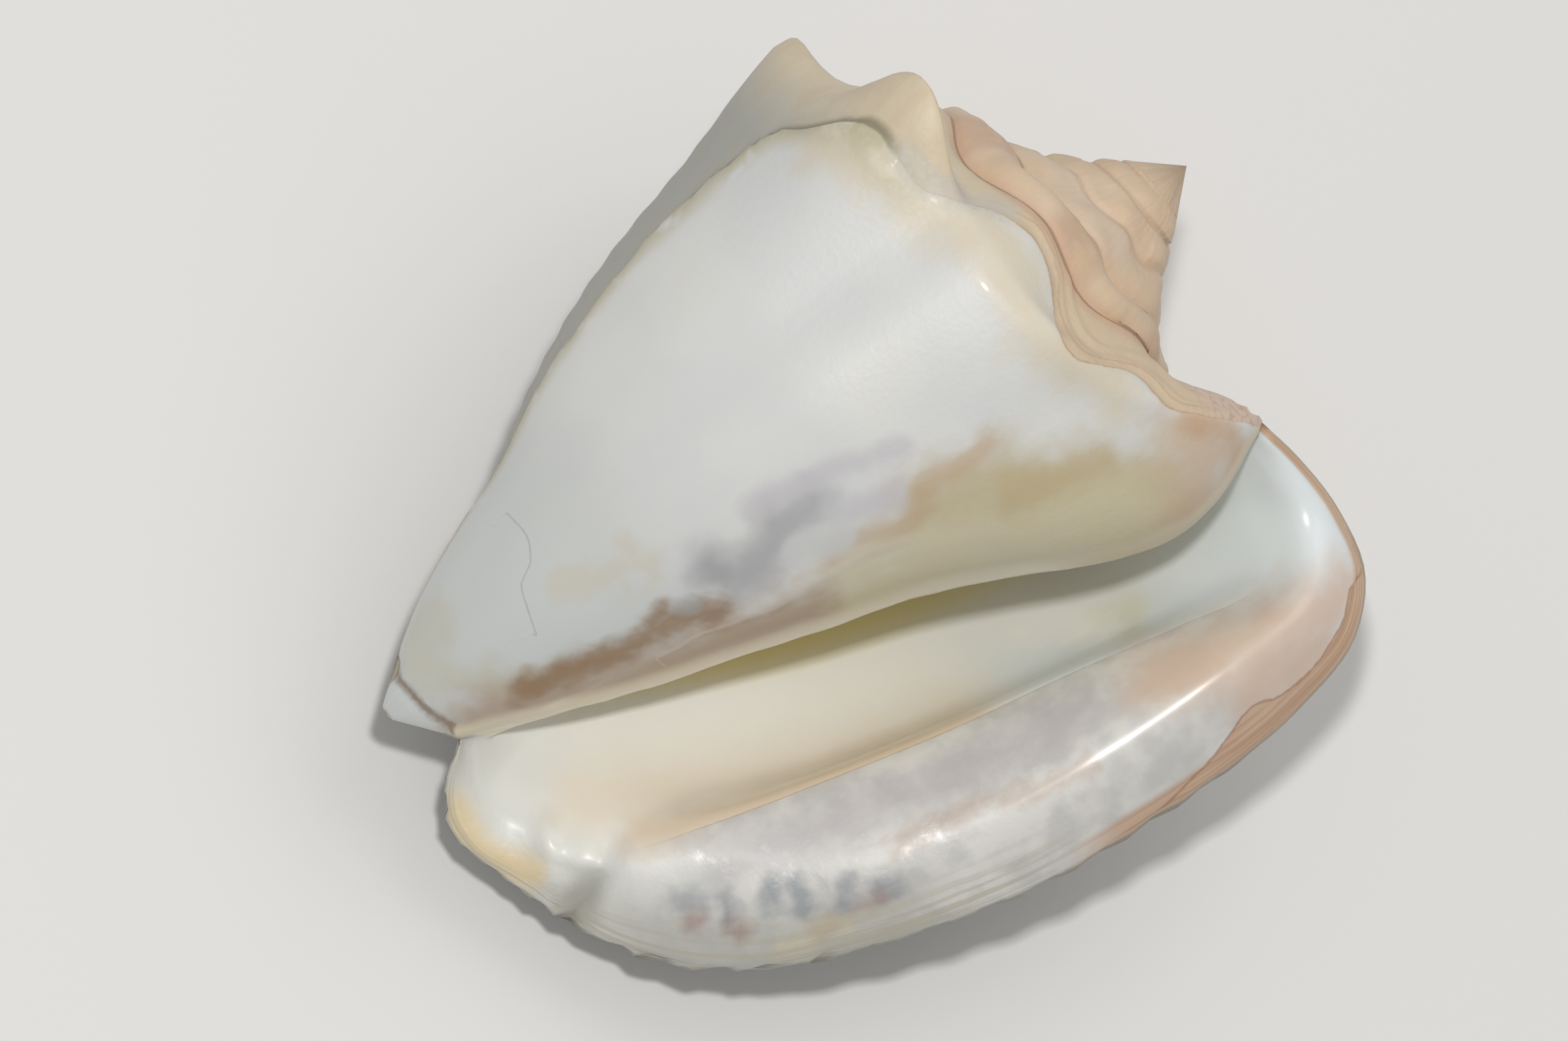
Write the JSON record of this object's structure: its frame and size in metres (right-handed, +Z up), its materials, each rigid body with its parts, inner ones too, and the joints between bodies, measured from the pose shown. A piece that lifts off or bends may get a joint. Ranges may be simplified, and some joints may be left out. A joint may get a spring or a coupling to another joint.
{
  "type": "conch shell",
  "caption": "Stout conch shell with a low knobbed spire, a body whorl tapering to an open canal, a long glazed aperture and a thick flared outer lip; a natural display object.",
  "frame": {"origin": "middle of the footprint, on the surface that the shell rests on", "axes": "+Z up, out of the aperture, as the shell lies on its back; +Y along the coiling axis towards the apex, seen from above; +X towards the flared outer lip"},
  "size_m": [0.1306, 0.144, 0.0959],
  "materials": {
    "shell": "glossy"
  },
  "bodies": {
    "root": {"milk_conch_shell": "shell"}
  },
  "joints": []
}
